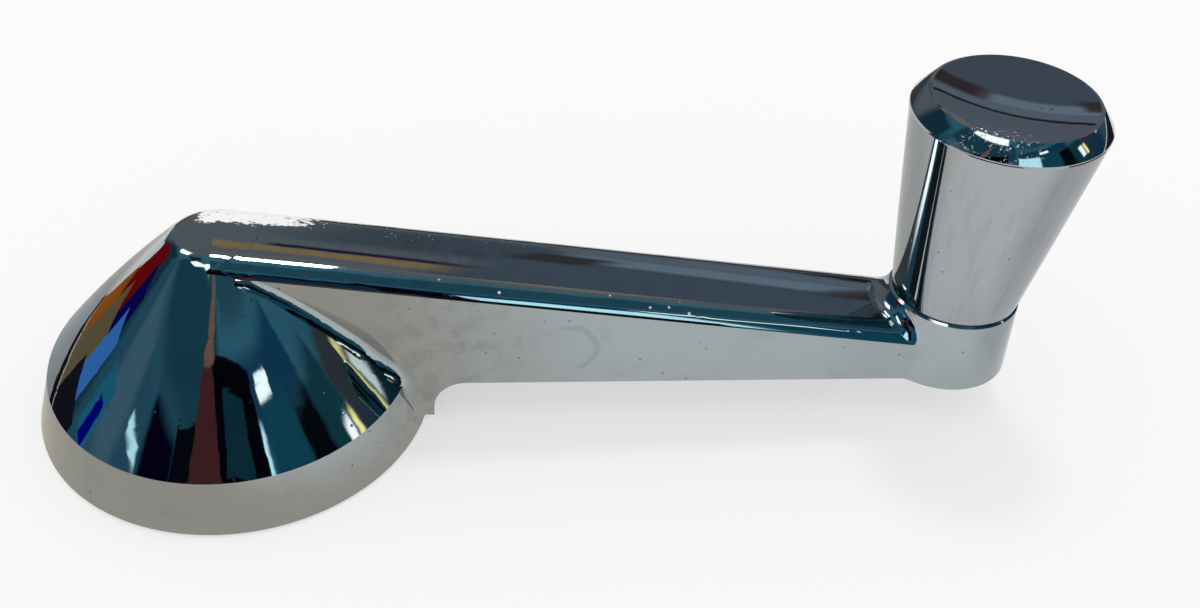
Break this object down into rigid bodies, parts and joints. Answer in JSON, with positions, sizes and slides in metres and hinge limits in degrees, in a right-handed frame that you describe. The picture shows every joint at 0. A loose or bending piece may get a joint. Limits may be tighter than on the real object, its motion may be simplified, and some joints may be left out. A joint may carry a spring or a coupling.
{
  "type": "window crank handle",
  "caption": "Chrome-plated car window crank: domed hub with a splined shaft hole and spring clip, tapered crowned arm, and a flared knob that turns on a headed spindle.",
  "frame": {"origin": "hub axis at the door-side face, which is the mouth of the splined shaft hole", "axes": "+X from the hub along the arm to the knob, +Z along the hub axis away from the door; the knob's axis is parallel to +Z"},
  "size_m": [0.1404, 0.0556, 0.048],
  "materials": {
    "crank_arm": "worn chrome plate over zinc die casting",
    "retaining_clip": "blued spring steel",
    "knob": "worn chrome plate over zinc die casting",
    "knob_spindle": "turned, peened end",
    "thrust_washer": "plain steel",
    "flat_washer": "plain steel",
    "wave_washer": "spring steel"
  },
  "bodies": {
    "crank": {"crank_arm": "crank_arm", "retaining_clip": "retaining_clip", "thrust_washer": "thrust_washer", "wave_washer": "wave_washer"},
    "knob": {"knob": "knob", "knob_spindle": "knob_spindle", "flat_washer": "flat_washer"}
  },
  "joints": [
    {"name": "knob_spin", "type": "hinge", "parent": "crank", "child": "knob", "pos_m": [0.1004, 0, 0.01795], "axis": [0, 0, 1], "continuous": true}
  ]
}
